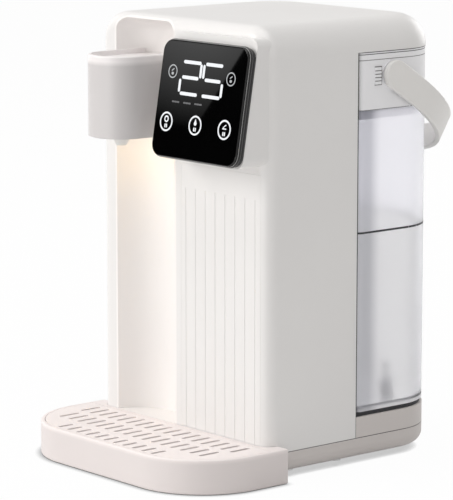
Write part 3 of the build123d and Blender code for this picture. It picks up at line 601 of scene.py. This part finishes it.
def panelLayer(name, facts):
    # a section with two rounded edges, carried round the rounded rectangle; both faces close onto the middle
    outline, normals = panelOutline(facts["grow"])
    radius = facts["edgeRound"]
    front = -facts["depth"]
    rear = front - facts["thick"]
    turn = np.radians(np.linspace(0, 90, panelFacts["edgeSteps"]))
    opening = radius * (1 - np.cos(turn))  # from 0 to the radius along a quarter round
    closing = radius * (1 - np.sin(turn))  # from the radius to 0
    flatEdge = radius + panelFacts["edgeMargin"]
    inset = np.concatenate([[0, 0, flatEdge], closing, opening, [flatEdge, 0, 0]])
    rise = np.concatenate([[front] * 3, front - opening, rear + closing, [rear] * 3])
    towards = [1.0, panelFacts["innerShrink"]]
    shrink = np.concatenate([towards, np.zeros(len(inset) - 2 * len(towards)), towards[::-1]])
    flat = (outline[:, None] - normals[:, None] * inset[None, :, None]) * (1 - shrink)[None, :, None]
    gridMesh(name, onPanel(withRise(flat, rise)), False, "housing", facts["slot"], facts["standsFor"])


for layerName, facts in layerFacts.items():
    panelLayer(layerName, facts)

# painted highlights: fine grey lines on the panel's rim stand in for light caught by its edges; reach over
# the glass outline, depths behind its face, millimetres
highlightLineFacts = {"highlightLineFront": {"in": 0.05, "out": 0.45, "from": 1.5, "to": 1.7, "tone": 0.42},
             "highlightLineMiddle": {"in": 0.3, "out": 0.73, "from": 3.1, "to": 3.5, "tone": 0.12},
             "highlightLineRear": {"in": -0.4, "out": 0.04, "from": 5.6, "to": 6.0, "tone": 0.09}}
highlightLookFacts = {"dim": 0.85, "rough": (0.2, 0.3), "grain": 0.01}


def panelHighlightLine(name, facts):
    # thin closed band of painted highlight round the panel: a rectangle section carried along the rounded
    # outline
    outline, normals = panelOutline(0.0)
    reach = np.array([facts["out"], facts["in"], facts["in"], facts["out"]])
    rise = -np.array([facts["from"], facts["from"], facts["to"], facts["to"]])
    flat = outline[:, None] + normals[:, None] * reach[None, :, None]
    tone = facts["tone"]
    dimTone = highlightLookFacts["dim"] * tone
    look = mouldedPlastic(name, (tone,) * 3, (dimTone,) * 3, highlightLookFacts["rough"], highlightLookFacts["grain"])
    gridMesh(name, onPanel(withRise(flat, rise)), True, "housing", "dark_trim", (), look, False)


for highlightName, facts in highlightLineFacts.items():
    panelHighlightLine(highlightName, facts)


# lit marks on the glass, millimetres; a stroke is x and y of one end, then x and y of the other

markLift = 0.05
digitFacts = {"width": 2.2,
              "two": [(-18.6, 24.2, -3.4, 24.2), (-2.0, 22.6, -2.0, 15.9), (-18.6, 14.4, -4.6, 14.4),
                      (-21.2, 12.0, -21.2, 5.8), (-19.0, 4.0, -4.2, 4.0)],
              "five": [(3.4, 24.2, 17.8, 24.2), (0.9, 22.6, 0.9, 15.9), (3.8, 14.2, 17.0, 14.2),
                       (19.9, 12.0, 19.9, 5.4), (2.8, 4.0, 18.0, 4.0)]}
largeKeyFacts = {"radius": 6.3, "line": 1.15,
                 "left": (-29.9, -15.1), "middle": (-1.1, -15.0), "right": (27.5, -15.0)}
smallKeyFacts = {"radius": 4.4, "line": 0.75, "spots": [(-29.5, 17.2), (27.8, 16.8)]}
signFacts = {"feet": {"strokes": [(-0.75, -3.35, -0.75, -1.85), (0.75, -3.35, 0.75, -1.85)], "width": 1.125},
             "ring": {"rise": 1.7, "radius": 2.2, "line": 1.0, "steps": 24},
             "drop": {"rise": 1.2, "radius": 1.35, "steps": 16, "arc": (-215, 35), "point": 2.3},
             "ledge": {"strokes": [(-1.6, 0.6, 1.6, 0.6)], "width": 0.8},
             "slant": {"strokes": [(-1.6, 0.6, -0.2, 2.2), (-0.2, 2.2, 1.3, 3.0)], "width": 0.7},
             "dot": {"rise": -1.3, "radius": 1.15, "tall": 0.8, "steps": 16},
             "flick": {"strokes": [(-0.9, 0.5, 0.9, 1.7)], "width": 0.7}}
dashFacts = {"spots": [(-23.1, -1.8), (-11.7, -1.8), (-0.8, -1.6)], "long": 1.5, "step": 2.4, "width": 1.1}
glowFacts = {"white": {"name": "litWhite", "colour": (0.95, 0.97, 1.0), "strength": 1.0},
             "dim": {"name": "litDim", "colour": (0.72, 0.74, 0.76), "strength": 0.7},
             "faint": {"name": "litFaint", "colour": (0.5, 0.5, 0.52), "strength": 0.28}}
glows = {tone: litMark(**facts) for tone, facts in glowFacts.items()}


def flatPatch(name, outlines, material):
    # flat lit shapes on the glass: each outline is one face
    counts = [len(outline) for outline in outlines]
    starts = np.cumsum([0] + counts[:-1]).tolist()
    faces = [list(range(start, start + count)) for start, count in zip(starts, counts)]
    flat = np.concatenate(outlines)
    lifted = np.concatenate([flat, np.full((len(flat), 1), markLift)], 1)
    facesMesh(name, onPanel(lifted), faces, "housing", "light_lens", (), material, False)


def strokeBar(ends, width, spot=(0, 0), steps=7):
    # bar between two points: half a circle round each end, joined by straight sides
    first = np.array(ends[:2]) + spot
    last = np.array(ends[2:]) + spot
    heading = math.atan2(*(last - first)[::-1])
    turn = np.radians(np.linspace(-90, 90, steps)) + heading
    half = width / 2
    return np.concatenate([last + half * circleWay(turn), first + half * circleWay(turn + math.pi)])


def strokeSign(spot, facts):
    return [strokeBar(ends, facts["width"], spot) for ends in facts["strokes"]]


def ringQuads(spot, radius, line, steps=40):
    # flat ring as faces with four corners between two circles
    way = circleWay(np.linspace(0, 2 * math.pi, steps + 1))
    inner = np.array(spot) + (radius - line) * way
    outer = np.array(spot) + radius * way
    return list(np.stack([inner[:-1], outer[:-1], outer[1:], inner[1:]], 1))


def ringSign(spot, facts):
    return ringQuads((spot[0], spot[1] + facts["rise"]), facts["radius"], facts["line"], facts["steps"])


def dropSign(spot, facts):
    # most of a circle, with a point on top
    middle = np.array(spot) + (0, facts["rise"])
    turn = np.radians(np.linspace(*facts["arc"], facts["steps"]))
    tip = middle + (0, facts["point"] * facts["radius"])
    return [np.concatenate([middle + facts["radius"] * circleWay(turn), tip[None]])]


def dotSign(spot, facts):
    # filled circle, a little flattened
    turn = np.linspace(0, 2 * math.pi, facts["steps"], endpoint=False)
    oval = facts["radius"] * circleWay(turn) * (1, facts["tall"])
    return [np.array(spot) + (0, facts["rise"]) + oval]


def makeMarks():
    digits = [strokeBar(ends, digitFacts["width"]) for ends in digitFacts["two"] + digitFacts["five"]]
    flatPatch("digitSegments", digits, glows["white"])

    keySigns = []
    for side in ("left", "middle", "right"):
        keySigns += ringQuads(largeKeyFacts[side], largeKeyFacts["radius"], largeKeyFacts["line"])
        keySigns += strokeSign(largeKeyFacts[side], signFacts["feet"])
    keySigns += ringSign(largeKeyFacts["left"], signFacts["ring"])
    keySigns += dropSign(largeKeyFacts["middle"], signFacts["drop"])
    keySigns += strokeSign(largeKeyFacts["right"], signFacts["ledge"])
    keySigns += strokeSign(largeKeyFacts["right"], signFacts["slant"])
    flatPatch("keySigns", keySigns, glows["white"])

    smallSigns = []
    for spot in smallKeyFacts["spots"]:
        smallSigns += ringQuads(spot, smallKeyFacts["radius"], smallKeyFacts["line"])
        smallSigns += dotSign(spot, signFacts["dot"])
        smallSigns += strokeSign(spot, signFacts["flick"])
    flatPatch("smallSigns", smallSigns, glows["dim"])

    half = dashFacts["long"] / 2
    shifts = [index * dashFacts["step"] for index in (-1, 0, 1)]
    dashes = [strokeBar((shift - half, 0, shift + half, 0), dashFacts["width"], spot)
              for spot in dashFacts["spots"] for shift in shifts]
    flatPatch("plainDashes", dashes, glows["faint"])


makeMarks()
print("panel done")


# water and painted shadow lines follow the tank wall's plan: grow is how far outside the wall they lie,
# millimetres

tankWall = {"halfWide": 84.85, "front": 77.7, "rear": 157.5, "frontRound": 5.0, "rearRound": 37.2}


def tankOutline(facts):
    # the tank wall's plan moved outwards by grow; a piece may have a front and a front rounding of its own
    grow = facts["grow"]
    front = facts.get("front", tankWall["front"] - grow)
    frontRound = facts.get("frontRound", tankWall["frontRound"] + grow)
    return roundedOutline(tankWall["halfWide"] + grow, front, tankWall["rear"] + grow, frontRound,
                          tankWall["rearRound"] + grow)


def planPoints(outline, heights):
    # a plan outline repeated at each height
    return toFrame(withRise(np.repeat(outline[:, None], len(heights), axis=1), heights))


def cappedWall(wall, hub):
    # an upright wall (points, two heights, 3) with its ends closed onto the hub's points
    return np.stack([hub[:, 0], wall[:, 0], wall[:, 1], hub[:, 1]], 1)


waterFacts = {"grow": -2.8, "bottom": 37.5, "top": 152.6}
waterLookFacts = {"name": "waterLook", "tint": (0.98, 0.98, 0.945), "shade": (0.82, 0.82, 0.80),
                  "edge": (0.85, 0.85, 0.83), "rough": (0.03, 0.08), "paintedShadeDepth": (0.078, 0.125),
                  "milk": 0.0, "floorMilk": 0.0, "floorTop": 0.036, "bend": 1.1}


def makeWater(facts):
    # closed block just inside the tank's wall
    outline = tankOutline(facts)[0]
    heights = [facts["bottom"], facts["top"]]
    middle = np.array([0, (tankWall["front"] + tankWall["rear"]) / 2])
    hub = planPoints(np.repeat(middle[None], len(outline), 0), heights)
    points = cappedWall(planPoints(outline, heights), hub)
    gridMesh("waterBody", points, False, "tank", "clear_tank", (), clearPlastic(waterLookFacts), False)


makeWater(waterFacts)
print("water done")

# painted shadow lines: thin dark bands stand in for the shade in the joints of the mouldings, and for the
# shade where the water meets the wall
shadowLineFacts = {
    "waterLine": {"grow": 0.06, "depth": 0.1, "low": 151.8, "high": 153.1,
                  "body": "tank", "look": "darkest"},
    "canopyLine": {"grow": 0.25, "frontRound": 5.2, "depth": 1.0, "low": 269.15, "high": 269.58,
                   "body": "housing", "look": "darkest"},
    "lidLine": {"grow": -0.05, "depth": 0.6, "low": 267.72, "high": 268.18,
                "body": "tank", "look": "darkest"},
    "collarLine": {"grow": -0.07, "depth": 0.6, "low": 264.02, "high": 264.48,
                   "body": "tank", "look": "grey"},
    "footLine": {"grow": 0.05, "depth": 0.1, "low": 231.9, "high": 232.25, "body": "tank", "look": "grey"},
    "baseLine": {"grow": 0.2, "front": 0.1, "frontRound": 9.4, "depth": 0.6, "low": 17.12, "high": 17.58,
                 "body": "housing", "look": "dark"},
}
shadowLookFacts = {
    "darkest": {"name": "paintedShadowDarkest", "light": (0.03, 0.03, 0.033), "shade": (0.02, 0.02, 0.022)},
    "dark": {"name": "paintedShadowDark", "light": (0.10, 0.095, 0.095), "shade": (0.08, 0.075, 0.075)},
    "grey": {"name": "paintedShadowGrey", "light": (0.24, 0.235, 0.235), "shade": (0.20, 0.195, 0.195)},
}
shadowRough = (0.4, 0.5)
shadowLooks = {tone: mouldedPlastic(**facts, rough=shadowRough) for tone, facts in shadowLookFacts.items()}


def shadowLineBand(name, facts):
    # thin closed band of painted shadow: a rectangle section carried along the plan outline
    outline, normals = tankOutline(facts)
    inner = outline - facts["depth"] * normals
    low, high = facts["low"], facts["high"]
    section = np.concatenate([planPoints(outline, [low, high]), planPoints(inner, [high, low])], 1)
    gridMesh(name, section, True, facts["body"], "dark_rubber", (), shadowLooks[facts["look"]], False)


for shadowLineName, facts in shadowLineFacts.items():
    shadowLineBand(shadowLineName, facts)

# painted shadow: dark upright strips in the joint between the housing and the tank or its dock, millimetres
jointShadowFacts = {"tank": {"in": 82.4, "out": 85.05, "front": 76.72, "rear": 77.55,
                        "bottom": 31.4, "top": 269.1},
               "dock": {"in": 82.4, "out": 84.9, "front": 76.72, "rear": 77.15,
                        "bottom": 17.7, "top": 31.2}}


def makeJointShadows(label, facts):
    # a rectangle in plan carried up and capped, on the right and mirrored on the left
    corners = np.array([(facts["in"], facts["front"]), (facts["out"], facts["front"]),
                        (facts["out"], facts["rear"]), (facts["in"], facts["rear"])])
    for side, end in ((1, "Right"), (-1, "Left")):
        wall = planPoints(corners * np.array([side, 1]), [facts["bottom"], facts["top"]])
        hub = np.broadcast_to(wall.mean(0, keepdims=True), wall.shape)
        gridMesh(label + "JointShadow" + end, cappedWall(wall, hub), False, "housing", "dark_rubber", (),
                 shadowLooks["darkest"], False, side < 0)


for label, facts in jointShadowFacts.items():
    makeJointShadows(label, facts)

# painted shadow: dark boxes in the gaps round the ribbed stop beside each bail eye and along its ribs, as X,
# Y and Z ranges on the right side, millimetres
stopFacts = {"gaps": [(84.9, 85.4, 96.4, 97.3, 247.7, 259.9), (84.9, 85.4, 91.3, 96.4, 259.3, 259.9),
                      (84.9, 85.4, 91.3, 96.4, 247.7, 248.3)],
             "ribs": {"x": (85.4, 85.7), "y": (91.4, 96.3), "first": 250.5, "pitch": 2.2, "count": 4,
                      "line": 0.45}}
# a box's corners as low 0 or high 1 on X, Y and Z, and its faces as loops of those corners
boxCorners = np.array([(0, 0, 0), (1, 0, 0), (1, 1, 0), (0, 1, 0),
                       (0, 0, 1), (1, 0, 1), (1, 1, 1), (0, 1, 1)])
boxFaces = np.array([(3, 2, 1, 0), (4, 5, 6, 7), (0, 1, 5, 4),
                     (1, 2, 6, 5), (2, 3, 7, 6), (3, 0, 4, 7)])


def makeStopShadows(facts):
    # every box on the right, and mirrored on the left with its faces turned round
    ribs = facts["ribs"]
    half = ribs["line"] / 2
    middles = ribs["first"] + ribs["pitch"] * np.arange(ribs["count"])
    lines = [(*ribs["x"], *ribs["y"], middle - half, middle + half) for middle in middles]
    boxes = np.array(facts["gaps"] + lines).reshape(-1, 3, 2)
    right = boxes[:, np.arange(3), boxCorners]
    pairs = np.stack([right, right * (-1, 1, 1)], 1)
    pairFaces = np.concatenate([boxFaces, boxFaces[:, ::-1] + len(boxCorners)])
    starts = 2 * len(boxCorners) * np.arange(len(boxes))
    faces = (pairFaces[None] + starts[:, None, None]).reshape(-1, 4).tolist()
    points = toFrame(pairs.reshape(-1, 3))
    facesMesh("stopShadowLines", points, faces, "tank", "dark_rubber", (), shadowLooks["grey"], False)


makeStopShadows(stopFacts)
print("seams done")
